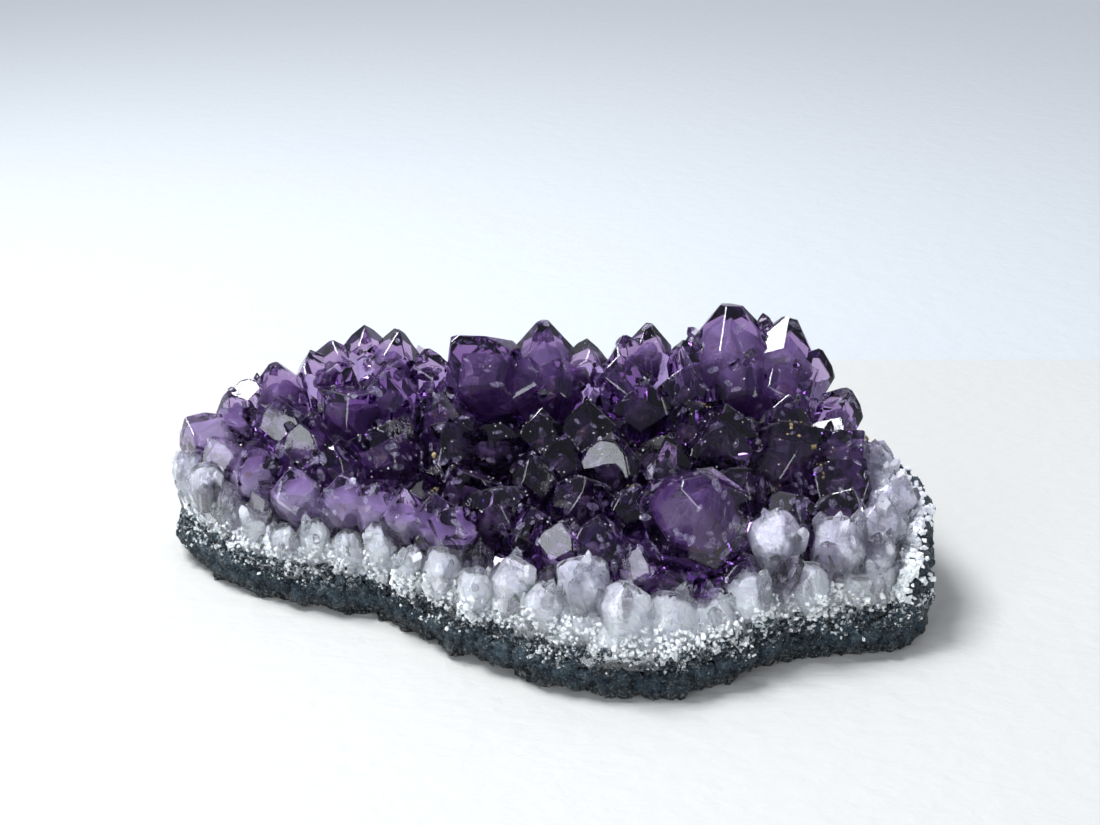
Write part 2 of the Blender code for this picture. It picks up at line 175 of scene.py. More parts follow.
# The colours of the pale quartz: low down, high up, in its clouds, and of the dark grains in it.
FROST_LOW, FROST_HIGH = (0.94, 0.97, 1.0), (0.84, 0.80, 0.95)
FROST_CLOUD, FROST_SPOT = (0.72, 0.79, 0.90), (0.03, 0.045, 0.045)
CLEAR_LOW, CLEAR_HIGH, CLEAR_CLOUD = (0.97, 0.985, 1.0), (0.92, 0.88, 0.98), (0.90, 0.92, 0.98)

# The colours of the rock: its green-black lumps, the crust low down, its flecks (partly pale grains, partly
# painted glints of small glossy facets), and the quartz grains.
ROCK_LUMPS = ((0.003, 0.008, 0.014), (0.040, 0.068, 0.090))
ROCK_CRUST = ((0.005, 0.007, 0.009), (0.20, 0.195, 0.18))
ROCK_FLECK_AND_GLINT = (0.17, 0.21, 0.235)
ROCK_SUGAR = (0.55, 0.60, 0.62)

# The two colours that each of these is mixed of.
GLEAM_COLOURS = ((0.66, 0.62, 0.86), (0.92, 0.94, 1.0))
OCHRE_COLOURS = ((0.34, 0.27, 0.12), (0.16, 0.10, 0.05))
DUST_COLOURS = ((0.80, 0.80, 0.84), (0.60, 0.58, 0.62))
PAPER_COLOURS = ((0.575, 0.57, 0.55), (0.59, 0.585, 0.565))
GROUND_COLOURS = ((0.56, 0.59, 0.62), (0.58, 0.60, 0.62))

NODES_IN_ROW = 8  # how new nodes are laid out in the node editor
NODE_STEP = (220, -320)


# ---------------------------------------------------------------- working by hand


def deselect_all():
    bpy.ops.object.select_all(action="DESELECT")


def make_active(piece):
    deselect_all()
    piece.select_set(True)
    bpy.context.view_layer.objects.active = piece


@contextmanager
def editing(piece, kind="VERT", action="SELECT"):
    """Edit mode on one piece, with all of its points, edges or faces selected, or none."""
    make_active(piece)
    bpy.ops.object.mode_set(mode="EDIT")
    bpy.ops.mesh.select_mode(type=kind)
    bpy.ops.mesh.select_all(action=action)
    yield
    bpy.ops.object.mode_set(mode="OBJECT")


def link_object(name, data):
    """A new object of the scene, whose data takes its name too."""
    data.name = name
    made = bpy.data.objects.new(name, data)
    bpy.context.scene.collection.objects.link(made)
    return made


def link_bmesh(name, bm):
    mesh = bpy.data.meshes.new(name)
    bm.to_mesh(mesh)
    bm.free()
    return link_object(name, mesh)


def cut(place, normal, threshold=1e-5):
    """Cuts what is selected by a plane, drops what lies beyond it and closes the cut."""
    bpy.ops.mesh.bisect(plane_co=place, plane_no=normal, use_fill=True, clear_outer=True, threshold=threshold)


def copy_of_node(node, name):
    """A new piece from a solid's mesh, with its doubles merged and its flat faces whole."""
    piece = link_object(name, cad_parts[node].data.copy())
    make_active(piece)
    bpy.ops.mesh.customdata_custom_splitnormals_clear()
    with editing(piece):
        bpy.ops.mesh.remove_doubles(threshold=0.002 * MM)
        bpy.ops.mesh.dissolve_limited(angle_limit=math.radians(0.6))
    bpy.ops.object.shade_flat()
    return piece


def apply_modifier(piece, kind, **settings):
    make_active(piece)
    modifier = piece.modifiers.new(kind, kind)
    for key, value in settings.items():
        setattr(modifier, key, value)
    bpy.ops.object.modifier_apply(modifier=modifier.name)


def flatten(piece, angle_deg):
    """Joins a lumpy piece's small faces into flat ones, where they differ by less than that angle."""
    apply_modifier(piece, "DECIMATE", decimate_type="DISSOLVE", angle_limit=math.radians(angle_deg))


def roughen(piece, size_mm, height_mm, kind="CLOUDS", mid=0.5, **settings):
    """Pushes a piece's surface in and out by a lumpy pattern of that size and height."""
    pattern = bpy.data.textures.new(f"{piece.name}_{size_mm}", kind)
    pattern.noise_scale = size_mm * MM
    for key, value in settings.items():
        setattr(pattern, key, value)
    pushed = {"texture": pattern, "texture_coords": "LOCAL", "strength": height_mm * MM, "mid_level": mid}
    apply_modifier(piece, "DISPLACE", **pushed)


def hearts_tree():
    """Geometry nodes that shrink a closed mesh, by way of a cloud whose inner part is a mesh again."""
    tree = bpy.data.node_groups.new("heart", "GeometryNodeTree")
    for label, way, kind in (
        ("Geometry", "INPUT", "Geometry"), ("Depth", "INPUT", "Float"),
        ("Grain", "INPUT", "Float"), ("Geometry", "OUTPUT", "Geometry"),
    ):
        tree.interface.new_socket(label, in_out=way, socket_type=f"NodeSocket{kind}")
    given = add_node(tree, "NodeGroupInput").outputs
    cloud = add_node(tree, "GeometryNodeMeshToVolume", {"resolution_mode": "VOXEL_SIZE"}, {
        "Mesh": given["Geometry"], "Voxel Size": given["Grain"],
        "Interior Band Width": times(tree, given["Depth"], 2.0),
    })
    volume = {"Volume": cloud.outputs["Volume"], "Threshold": 0.5}
    skin = add_node(tree, "GeometryNodeVolumeToMesh", values=volume)
    add_node(tree, "NodeGroupOutput", values={"Geometry": skin.outputs["Mesh"]})
    return tree


def heart_of(piece, name, depth_mm, grain_mm):
    """A new piece: the inner part of a closed one, from depth_mm under its surface."""
    made = link_object(name, piece.data.copy())
    make_active(made)
    modifier = made.modifiers.new("heart", "NODES")
    modifier.node_group = bpy.data.node_groups.get("heart") or hearts_tree()
    sizes_mm = {"Depth": depth_mm, "Grain": grain_mm}
    for socket in modifier.node_group.interface.items_tree:
        if socket.name in sizes_mm:
            modifier[socket.identifier] = sizes_mm[socket.name] * MM
    bpy.ops.object.modifier_apply(modifier=modifier.name)
    return made


def keep_in_box(piece, low, high):
    """Pulls in the points of a piece that stand out of a box."""
    for vert in piece.data.vertices:
        vert.co = [min(max(vert.co[i], low[i]), high[i]) for i in range(3)]


def fits(spot):
    """Whether a spot lies inside the box of the solids."""
    low, high = solid_box
    return all(low[i] < spot[i] < high[i] for i in range(3))


def any_turn(chooser):
    return chooser.uniform(0, math.tau)


def random_lean(chooser, reach):
    return Vector([chooser.uniform(-reach, reach) for _ in range(3)])


def dress(piece, material, slot, *nodes):
    piece.data.materials.clear()
    piece.data.materials.append(material)
    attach(piece, "root")
    if nodes:
        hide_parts(*nodes)


# ---------------------------------------------------------------- nodes


def set_inputs(node, values):
    """Fills a node's inputs with sockets or plain values. A colour is given without alpha."""
    for key, given in values.items():
        socket = node.inputs[key]
        if isinstance(given, bpy.types.NodeSocket):
            node.id_data.links.new(given, socket)
        else:
            socket.default_value = (*given, 1.0) if socket.type == "RGBA" else given


def add_node(tree, kind, settings=None, values=None):
    row, column = divmod(len(tree.nodes), NODES_IN_ROW)
    made = tree.nodes.new(kind)
    made.location = (column * NODE_STEP[0], row * NODE_STEP[1])
    for name, value in (settings or {}).items():
        setattr(made, name, value)
    set_inputs(made, values or {})
    return made


def add_noise(tree, vector, scale, detail=3.0, rough=0.55, distortion=0.0):
    values = {"Vector": vector, "Scale": scale, "Detail": detail, "Roughness": rough}
    noise = add_node(tree, "ShaderNodeTexNoise", values=values | {"Distortion": distortion})
    return noise.outputs["Fac"]


def add_range(tree, value, low, high, to_low=0.0, to_high=1.0, clamp=True):
    """A value moved from one range to another, and held inside it."""
    values = {"Value": value, "From Min": low, "From Max": high, "To Min": to_low, "To Max": to_high}
    return add_node(tree, "ShaderNodeMapRange", {"clamp": clamp}, values).outputs["Result"]


def add_level(tree, value, low_mm, high_mm, to_low=0.0, to_high=1.0, clamp=True):
    """The same for a length, between two lengths."""
    return add_range(tree, value, low_mm * MM, high_mm * MM, to_low, to_high, clamp)


def add_mix(tree, share, first, second):
    """A mix of two colours, each a socket or a plain colour."""
    made = add_node(tree, "ShaderNodeMix", {"data_type": "RGBA"}, {0: share, 6: first, 7: second})
    return made.outputs[2]


def add_math(tree, operation, first, second, clamp=False):
    settings = {"operation": operation, "use_clamp": clamp}
    return add_node(tree, "ShaderNodeMath", settings, {0: first, 1: second}).outputs[0]


def times(tree, first, second):
    return add_math(tree, "MULTIPLY", first, second)


def object_place(tree):
    return add_node(tree, "ShaderNodeTexCoord").outputs["Object"]


def axes_of(tree, place):
    return add_node(tree, "ShaderNodeSeparateXYZ", values={0: place}).outputs


def distance_from(tree, place, spot_mm):
    spot = [value * MM for value in spot_mm]
    far = add_node(tree, "ShaderNodeVectorMath", {"operation": "DISTANCE"}, {0: place, 1: spot})
    return far.outputs["Value"]


def wavering_height(tree, place, noise_scale, rough, waver_mm):
    """The height of a spot, changed a little by a noise, so that levels aren't straight lines."""
    waver = times(tree, add_noise(tree, place, noise_scale, 4.0, rough), waver_mm * MM)
    return add_math(tree, "ADD", axes_of(tree, place)["Z"], waver)


def new_group(name, inputs, outputs):
    """An empty shader node group, with its input and output nodes."""
    group = bpy.data.node_groups.new(name, "ShaderNodeTree")
    for label, value in inputs.items():
        socket = group.interface.new_socket(label, in_out="INPUT", socket_type="NodeSocketFloat")
        socket.default_value = value
    for label in outputs:
        group.interface.new_socket(label, in_out="OUTPUT", socket_type="NodeSocketFloat")
    return group, add_node(group, "NodeGroupInput").outputs, add_node(group, "NodeGroupOutput")


def speckle_group():
    """Grains scattered over a surface: 1 on a grain, 0 beside it."""
    inputs = {"Grains per metre": 900.0, "Share": 0.5, "Edge": 0.06}
    group, given, end = new_group("speckle", inputs, ["Mask"])
    noise = add_noise(group, object_place(group), given["Grains per metre"], 4.0, 0.7)
    level = add_math(group, "SUBTRACT", 1.0, given["Share"])
    level = add_range(group, level, 0.0, 1.0, 0.25, 0.75)
    above = add_math(group, "SUBTRACT", noise, level)
    set_inputs(end, {"Mask": add_math(group, "DIVIDE", above, given["Edge"], clamp=True)})
    return group


def growth_group():
    """The low relief of a crystal's face: soft swells, fine growth lines and small pits."""
    group, given, end = new_group("growth", {"Swell": 1.0, "Lines": 0.35, "Pits": 0.25}, ["Height"])
    place = object_place(group)
    wave = {"Vector": place, "Scale": 260.0, "Distortion": 7.0, "Detail": 2.0, "Detail Scale": 0.6}
    lines = add_node(group, "ShaderNodeTexWave", {"bands_direction": "DIAGONAL"}, wave)
    pits = add_node(group, "ShaderNodeTexVoronoi", values={"Vector": place, "Scale": 900.0})
    parts = {
        "Swell": add_noise(group, place, 210.0, 2.0, 0.5, 0.6),
        "Lines": lines.outputs["Fac"],
        "Pits": add_range(group, pits.outputs["Distance"], 0.05, 0.3),
    }
    total = 0.0
    for name, part in parts.items():
        total = add_math(group, "ADD", times(group, part, given[name]), total)
    set_inputs(end, {"Height": total})
    return group


def front_edge(tree, x):
    """The y of the cluster's front edge at an x, by a curve through the points of the front line."""
    (left, _), (right, _) = FRONT_LINE_MM[0], FRONT_LINE_MM[-1]
    low, high = -40, 10
    line = add_node(tree, "ShaderNodeFloatCurve", values={"Value": add_level(tree, x, left, right)})
    spots = [((x_mm - left) / (right - left), (y_mm - low) / (high - low)) for x_mm, y_mm in FRONT_LINE_MM]
    points = line.mapping.curves[0].points
    for spot in spots[1:-1]:
        points.new(*spot)
    points[0].location, points[-1].location = spots[0], spots[-1]
    line.mapping.update()
    return add_range(tree, line.outputs["Value"], 0.0, 1.0, low * MM, high * MM)


def zone_group():
    """Where a spot lies in the cluster: Deep in the dark middle, Rim at the pale front, the left end and
    the clear crystals of the ridge, Big on the largest crystal. Low is 1 near the quartz and 0 higher up."""
    group, given, end = new_group("zone", {"Waver": 0.3}, ["Deep", "Rim", "Big", "Low"])
    place = object_place(group)
    axes = axes_of(group, place)
    patch = add_math(group, "SUBTRACT", add_noise(group, place, 60.0, 3.0, 0.6), 0.5)
    patch = times(group, patch, given["Waver"])

    reach = times(group, patch, 4.0)
    for axis, (low, high) in zip("XY", DARK_MIDDLE_MM):
        share = add_level(group, axes[axis], low, high, -1.0, 1.0, clamp=False)
        reach = add_math(group, "ADD", times(group, share, share), reach)
    off_big = add_level(group, distance_from(group, place, BIG_CRYSTAL_MM), *BIG_REACH_MM)
    deep = times(group, add_range(group, reach, 0.6, 1.2, 1.0, 0.0), off_big)

    inward = add_math(group, "SUBTRACT", axes["Y"], front_edge(group, axes["X"]))
    rim = times(group, add_level(group, inward, *RIM_DEPTH_MM, 1.0, 0.0), off_big)
    rim = add_math(group, "MAXIMUM", rim, add_level(group, axes["X"], *LEFT_END_MM))
    for *spot, reach_mm in PALE_SPOTS_MM:
        away = distance_from(group, place, spot)
        near = add_level(group, away, 0.7 * reach_mm, 1.3 * reach_mm, 0.8, 0.0)
        rim = add_math(group, "MAXIMUM", rim, near)

    height = add_math(group, "ADD", axes["Z"], times(group, patch, 20 * MM))
    set_inputs(end, {
        "Deep": deep,
        "Rim": add_math(group, "ADD", rim, patch, clamp=True),
        "Big": add_math(group, "SUBTRACT", 1.0, off_big),
        "Low": add_level(group, height, 12.5, 22.5, 1.0, 0.0),
    })
    return group


def veil_group():
    """Thin healed cracks and cloudy veils: 1 on a veil, 0 in clear stone."""
    group, given, end = new_group("veil", {"Veils per metre": 160.0, "Width": 0.05}, ["Mask"])
    place = object_place(group)
    noise = {"Vector": place, "Scale": 120.0, "Detail": 3.0, "Distortion": 1.5}
    bent = add_node(group, "ShaderNodeTexNoise", values=noise).outputs["Color"]
    moved = {0: bent, 1: [6 * MM] * 3, 2: place}
    shift = add_node(group, "ShaderNodeVectorMath", {"operation": "MULTIPLY_ADD"}, moved)
    veils = {"Vector": shift.outputs[0], "Scale": given["Veils per metre"]}
    cells = add_node(group, "ShaderNodeTexVoronoi", {"feature": "DISTANCE_TO_EDGE"}, veils)
    line = add_math(group, "DIVIDE", cells.outputs["Distance"], given["Width"])
    line = add_math(group, "SUBTRACT", 1.0, line, clamp=True)
    patch = add_range(group, add_noise(group, place, 75.0, 3.0, 0.6), 0.45, 0.6)
    set_inputs(end, {"Mask": times(group, line, patch)})
    return group


def use_group(tree, group, **values):
    return add_node(tree, "ShaderNodeGroup", {"node_tree": group}, values).outputs


def speckles(tree, group, grains, share):
    """A mask of so many grains per metre, on that share of the surface."""
    return use_group(tree, group, **{"Grains per metre": grains, "Share": share})["Mask"]


def new_material(name):
    made = bpy.data.materials.new(name)
    made.use_nodes = True
    tree = made.node_tree
    return made, tree, tree.nodes["Principled BSDF"], tree.nodes["Material Output"]


def add_bump(shader, height, strength, distance_mm):
    values = {"Strength": strength, "Distance": distance_mm * MM, "Height": height}
    bump = add_node(shader.id_data, "ShaderNodeBump", values=values)
    set_inputs(shader, {"Normal": bump.outputs["Normal"]})


def add_absorption(output, colour, density):
    volume = add_node(output.id_data, "ShaderNodeVolumeAbsorption", values={"Color": colour, "Density": density})
    set_inputs(output, {"Volume": volume.outputs["Volume"]})


# ---------------------------------------------------------------- finishes


def amethyst_finish(name, growth, zone, tints, density):
    """Clear purple quartz: darkest in the middle of the cluster, palest along the front and at the roots.

    tints are the colours of the middle, of most crystals, and of the pale rim.
    """
    made, tree, shader, output = new_material(name)
    place = object_place(tree)
    root = add_node(tree, "ShaderNodeAttribute", {"attribute_name": "root"}).outputs["Fac"]
    tone = add_node(tree, "ShaderNodeAttribute", {"attribute_name": "tone"}).outputs["Fac"]
    where = use_group(tree, zone)
    deep, middle, rim = tints
    colour = add_mix(tree, where["Deep"], middle, deep)
    colour = add_mix(tree, where["Rim"], colour, rim)
    cloud = add_range(tree, add_noise(tree, place, 95.0, 4.0, 0.6, 1.0), 0.4, 0.7)
    share = times(tree, root, 0.35)
    share = add_math(tree, "ADD", share, times(tree, tone, 0.3))
    share = add_math(tree, "ADD", share, times(tree, cloud, 0.2), clamp=True)
    haze = add_range(tree, add_noise(tree, place, 420.0, 3.0), 0.5, 0.8, 0.02, 0.22)
    relief = use_group(tree, growth, Swell=1.0, Lines=0.08, Pits=0.05)
    add_bump(shader, relief["Height"], 0.05, 0.04)
    set_inputs(shader, {
        "Base Color": add_mix(tree, share, colour, rim),
        "Roughness": haze,
        "Metallic": 0.0,
        "Transmission Weight": 1.0,
        "IOR": QUARTZ_IOR,
    })
    add_absorption(output, STONE_ABSORB, density)
    return made


def heart_finish(zone, veil, speckle):
    """The cloudy inside of the crystals: dark purple in the middle, milky lilac along the front."""
    made, tree, shader, _ = new_material("cloudy_heart")
    place = object_place(tree)
    where = use_group(tree, zone)
    colour = add_mix(tree, where["Deep"], HEART_MIDDLE, HEART_DEEP)
    colour = add_mix(tree, where["Rim"], colour, HEART_RIM)
    colour = add_mix(tree, where["Big"], colour, HEART_MIDDLE)
    colour = add_mix(tree, times(tree, where["Low"], where["Rim"]), colour, HEART_ROOT)
    cloud = add_range(tree, add_noise(tree, place, 140.0, 5.0, 0.65, 1.2), 0.35, 0.7)
    veils = use_group(tree, veil)["Mask"]
    rust = speckles(tree, speckle, 340.0, 0.3)
    for mask, share, tint in ((cloud, 0.22, HEART_CLOUD), (veils, 0.14, HEART_VEIL), (rust, 0.5, HEART_RUST)):
        colour = add_mix(tree, times(tree, mask, share), colour, tint)
    set_inputs(shader, {"Base Color": colour, "Roughness": add_range(tree, cloud, 0.0, 1.0, 0.15, 0.5)})
    add_bump(shader, add_noise(tree, place, 600.0, 4.0, 0.7), 0.5, 0.25)
    return made


def frosty_finish(speckle, growth):
    """The milky quartz band: white low down with dark grains, greyer and more lilac higher up."""
    made, tree, shader, _ = new_material("frosty_quartz")
    place = object_place(tree)
    level = wavering_height(tree, place, 130.0, 0.65, 6)
    colour = add_mix(tree, add_level(tree, level, 16, 26), FROST_LOW, FROST_HIGH)
    cloud = add_range(tree, add_noise(tree, place, 330.0, 5.0, 0.7, 1.2), 0.3, 0.45)
    colour = add_mix(tree, cloud, FROST_CLOUD, colour)
    near_rock = add_level(tree, level, 8.5, 13.5, 1.0, 0.0)
    spots = times(tree, speckles(tree, speckle, 1100.0, 0.55), near_rock)
    relief = use_group(tree, growth, Swell=1.0, Lines=0.2, Pits=0.8)
    add_bump(shader, relief["Height"], 0.8, 0.25)
    set_inputs(shader, {
        "Base Color": add_mix(tree, spots, colour, FROST_SPOT),
        "Roughness": add_range(tree, cloud, 0.0, 1.0, 0.5, 0.16),
        "Subsurface Weight": 0.5,
        "Subsurface Radius": (1.0, 0.9, 1.1),
        "Subsurface Scale": 1.6 * MM,
        "IOR": QUARTZ_IOR,
    })
    return made


def clear_quartz_finish(name, growth, rough, clear):
    """The pale quartz of the band: nearly colourless glass with smoky and lilac patches."""
    made, tree, shader, output = new_material(name)
    place = object_place(tree)
    cloud = add_range(tree, add_noise(tree, place, 260.0, 4.0, 0.6), 0.35, 0.7)
    high = add_level(tree, axes_of(tree, place)["Z"], 14, 24)
    colour = add_mix(tree, high, CLEAR_LOW, CLEAR_HIGH)
    haze = add_range(tree, add_noise(tree, place, 500.0, 3.0), 0.4, 0.7, rough, rough + 0.3)
    relief = use_group(tree, growth, Swell=0.6, Lines=0.3, Pits=0.2)
    add_bump(shader, relief["Height"], 0.3, 0.05)
    set_inputs(shader, {
        "Base Color": add_mix(tree, cloud, colour, CLEAR_CLOUD),
        "Roughness": haze,
        "Transmission Weight": clear,
        "IOR": QUARTZ_IOR,
    })
    add_absorption(output, QUARTZ_ABSORB, QUARTZ_DENSITY)
    return made


def rock_finish(speckle):
    """The dark green-black rock, with pale grains where it meets the quartz and a grainy crust low down."""
    made, tree, shader, _ = new_material("dark_rock_rind")
    place = object_place(tree)
    level = wavering_height(tree, place, 160.0, 0.6, 5)
    lumps = add_range(tree, add_noise(tree, place, 520.0, 5.0, 0.7), 0.4, 0.62)
    green = add_mix(tree, lumps, *ROCK_LUMPS)
    crust = add_mix(tree, speckles(tree, speckle, 1500.0, 0.42), *ROCK_CRUST)
    colour = add_mix(tree, add_level(tree, level, 3.5, 6.0, 1.0, 0.0), green, crust)
    # Pale grey-blue flecks all over: partly pale grains, partly painted glints where small glossy facets would
    # catch the light.
    colour = add_mix(tree, speckles(tree, speckle, 2600.0, 0.38), colour, ROCK_FLECK_AND_GLINT)
    above, below = add_level(tree, level, 7.5, 10.0), add_level(tree, level, 11.5, 13.5, 1.0, 0.0)
    near_quartz = times(tree, above, below)
    spots = times(tree, speckles(tree, speckle, 1250.0, 0.42), near_quartz)
    gloss = add_noise(tree, place, 900.0, 4.0, 0.7)
    add_bump(shader, add_noise(tree, place, 1100.0, 6.0, 0.8), 1.0, 1.0)
    set_inputs(shader, {
        "Base Color": add_mix(tree, spots, colour, ROCK_SUGAR),
        "Roughness": add_range(tree, gloss, 0.3, 0.7, 0.12, 0.5),
        "Specular IOR Level": 0.35,
    })
    return made


def gleam_finish():
    """The silvery film of a healed crack, thicker in some places than in others."""
    made, tree, shader, _ = new_material("crack_gleam")
    film = add_noise(tree, object_place(tree), 900.0, 3.0, 0.6)
    set_inputs(shader, {
        "Base Color": add_mix(tree, film, *GLEAM_COLOURS),
        "Alpha": add_range(tree, film, 0.35, 0.7, 0.05, 0.5),
        "Roughness": add_range(tree, film, 0.3, 0.7, 0.4, 0.08),
    })
    return made


def crumb_finish(name, colours):
    """Dull crumbs of one mineral, of two mixed colours."""
    made, tree, shader, _ = new_material(name)
    grain = add_noise(tree, object_place(tree), 1500.0, 4.0, 0.7)
    set_inputs(shader, {
        "Base Color": add_mix(tree, add_range(tree, grain, 0.35, 0.65), *colours),
        "Roughness": add_range(tree, grain, 0.3, 0.7, 0.85, 0.5),
    })
    add_bump(shader, grain, 0.8, 0.2)
    return made


def matt_finish(name, colours, patches, rough, shine):
    """A matt sheet of the stage. patches is how many patches of tint it has per metre."""
    made, tree, shader, _ = new_material(name)
    place = object_place(tree)
    tint = add_noise(tree, place, patches, 2.0)
    set_inputs(shader, {
        "Base Color": add_mix(tree, tint, *colours), "Roughness": rough, "Specular IOR Level": shine,
    })
    return made, tree, shader, place


def paper_finish():
    """Warm white watercolour paper, with its soft pressed grain."""
    made, tree, shader, place = matt_finish("paper", PAPER_COLOURS, 9.0, 0.9, 0.2)
    stretch = add_node(tree, "ShaderNodeMapping", values={"Vector": place, "Scale": (0.7, 1.0, 1.0)})
    felt = add_noise(tree, stretch.outputs["Vector"], 300.0, 3.0, 0.5, 0.3)
    add_bump(shader, felt, 1.0, 0.35)
    return made


def ground_finish():
    """The matt, cooler ground behind the paper."""
    made, tree, shader, place = matt_finish("ground", GROUND_COLOURS, 3.0, 0.95, 0.1)
    add_bump(shader, add_noise(tree, place, 120.0, 4.0, 0.6), 0.5, 1.2)
    return made


# ---------------------------------------------------------------- pieces


def faces_by_crystal(bm):
    """The crust's faces in groups that only outward edges join, so that each group is one crystal."""
    taken, groups = set(), []
    for face in bm.faces:
        if face in taken:
            continue
        todo, group = [face], []
        taken.add(face)
        while todo:
            one = todo.pop()
            group.append(one)
            around = [other for edge in one.edges if edge.is_convex for other in edge.link_faces]
            for other in around:
                if other not in taken:
                    taken.add(other)
                    todo.append(other)
        groups.append(group)
    return groups


def mark_crystals(piece):
    """Gives every crystal of the crust its own tone, and every point its share of the way to the root."""
    bm = bmesh.new()
    bm.from_mesh(piece.data)
    tone = bm.faces.layers.float.new("tone")
    root = bm.verts.layers.float.new("root")
    chooser = random.Random(SEED)
    for vert in bm.verts:
        vert[root] = 1.0
    for group in faces_by_crystal(bm):
        shade = chooser.random()
        top = max((vert.co for face in group for vert in face.verts), key=lambda co: co.z)
        for face in group:
            face[tone] = shade
            for vert in face.verts:
                vert[root] = min(vert[root], (top - vert.co).length / (CRYSTAL_MM * MM))
    bm.to_mesh(piece.data)
    bm.free()


def choose(piece, parts, wanted):
    """Selects only the "verts", "edges" or "faces" that wanted(part) accepts, in edit mode."""
    bpy.ops.mesh.select_all(action="DESELECT")
    bm = bmesh.from_edit_mesh(piece.data)
    for part in getattr(bm, parts):
        part.select_set(wanted(part))
    bmesh.update_edit_mesh(piece.data)


def chamfer(piece, width_mm, least_mm):
    """Small flats along a faceted piece's sharp outer edges."""

    def sharp(edge):
        outward = edge.is_convex and edge.calc_face_angle(0.0) > math.radians(22)
        return outward and edge.calc_length() > least_mm * MM

    with editing(piece, "EDGE"):
        choose(piece, "edges", sharp)
        bpy.ops.mesh.bevel(offset=width_mm * MM, segments=2, affect="EDGES", clamp_overlap=False)


def chip_tips(piece, chooser):
    """Cuts the sharp tip off some crystals: small broken faces instead of points."""

    def is_tip(vert, least_mm):
        around = list(vert.link_edges)
        peak = len(around) >= 3 and all(edge.other_vert(vert).co.z < vert.co.z for edge in around)
        long = peak and min(edge.calc_length() for edge in around) > least_mm * MM
        return long and all(edge.is_convex for edge in around) and chooser.random() < CHIPPED_SHARE

    with editing(piece):
        for size in (CHIP_MM[0], sum(CHIP_MM) / 2, CHIP_MM[1]):
            choose(piece, "verts", lambda vert: is_tip(vert, 2.2 * size))
            bpy.ops.mesh.bevel(offset=size * MM, segments=1, affect="VERTICES", clamp_overlap=True)


def amethyst_crust(finish):
    """The crust of crystals: the solid's own faces, some of them stepped, with chamfered edges."""
    piece = copy_of_node("amethyst_crystals", "amethyst_crust")
    mark_crystals(piece)
    chooser = random.Random(SEED + 1)
    chip_tips(piece, chooser)

    def stepped(face):
        wide = face.calc_area() > STEPPED_FACE_MM2 * MM * MM
        shortest = min(edge.calc_length() for edge in face.edges)
        plain = 3 <= len(face.verts) <= 6 and shortest > 1.6 * MM and face.normal.z > -0.1
        return plain and wide and chooser.random() < STEPPED_SHARE

    with editing(piece, "FACE"):
        for inset_mm, depth_mm in zip(STEP_INSET_MM, (STEP_HEIGHT_MM, -STEP_HEIGHT_MM)):
            choose(piece, "faces", stepped)
            bpy.ops.mesh.inset(thickness=inset_mm * MM, depth=depth_mm * MM, use_individual=True)
    chamfer(piece, CHAMFER_MM, 1.6)
    dress(piece, finish, "amethyst", "amethyst_crystals")
    return piece


def crystal_hearts(crust, finish):
    """The cloudy stone inside the crust, which stops the eye a few millimetres under the faces."""
    piece = heart_of(crust, "cloudy_hearts", HEART_DEPTH_MM, HEART_GRAIN_MM)
    roughen(piece, *HEART_LUMPS_MM)
    flatten(piece, HEART_FLAT_DEG)
    dress(piece, finish, "amethyst")


def inner_block():
    """A tall block over everything that lies further in than the milky roots reach."""
    left, right = (x * MM for x in ROOT_SIDES_MM)
    front = [(x * MM, (y + ROOT_REACH_MM) * MM) for x, y in FRONT_LINE_MM[1:-1]]
    ring = [(left, 30 * MM), *front, (right, 0), (right, 90 * MM), (left, 90 * MM)]
    bm = bmesh.new()
    floor = bm.faces.new([bm.verts.new((x, y, -20 * MM)) for x, y in ring])
    walls = bmesh.ops.extrude_face_region(bm, geom=[floor])
    tops = [item for item in walls["geom"] if isinstance(item, bmesh.types.BMVert)]
    bmesh.ops.translate(bm, verts=tops, vec=(0, 0, 110 * MM))
    bmesh.ops.recalc_face_normals(bm, faces=bm.faces)
    return link_bmesh("inside", bm)


def milky_roots(crust, finish):
    """The milky lower ends of the front crystals, where the purple stone turns into white quartz."""
    piece = heart_of(crust, "milky_roots", ROOT_DEPTH_MM, ROOT_GRAIN_MM)
    with editing(piece):
        cut((0, 0, ROOT_TOP_MM * MM), (0, -ROOT_TOP_SLOPE, 1), 1e-6)
    inside = inner_block()
    apply_modifier(piece, "BOOLEAN", object=inside, operation="DIFFERENCE", solver="EXACT")
    bpy.data.objects.remove(inside, do_unlink=True)
    roughen(piece, *ROOT_LUMPS_MM)
    flatten(piece, ROOT_FLAT_DEG)
    dress(piece, finish, "amethyst")


def quartz_shell(finish):
    """The clear outer stone of the quartz band, with the crystals round its edge."""
    piece = copy_of_node("quartz_band", "quartz_shell")
    chamfer(piece, CHAMFER_MM, 1.4)
    dress(piece, finish, "white_quartz", "quartz_band")
    return piece


def quartz_core(shell, finish):
    """The sugary white stone inside the band."""
    piece = heart_of(shell, "quartz_core", CORE_DEPTH_MM, QUARTZ_GRAIN_MM)
    roughen(piece, 2.6, 1.5)
    roughen(piece, 1.1, 1.0, "VORONOI", 0.3)
    keep_in_box(piece, *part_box("quartz_band"))
    dress(piece, finish, "white_quartz", "quartz_band")


def rock_rind(finish):
    """The dark rock: rough at the sides and flat below."""
    piece = copy_of_node("rock_base", "rock_rind")
    apply_modifier(piece, "REMESH", mode="VOXEL", voxel_size=ROCK_GRAIN_MM * MM)
    roughen(piece, 6.0, 3.0)
    roughen(piece, 2.4, 2.0)
    roughen(piece, 1.5, 1.3, "VORONOI", 0.35, distance_metric="MANHATTAN")
    keep_in_box(piece, *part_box("rock_base"))
    make_active(piece)
    bpy.ops.object.shade_smooth()
    dress(piece, finish, "dark_rock", "rock_base")
    return piece


# ---------------------------------------------------------------- small forms


def name_form(name):
    """The last primitive made, under its own name."""
    form = bpy.context.object
    form.name = name
    return form


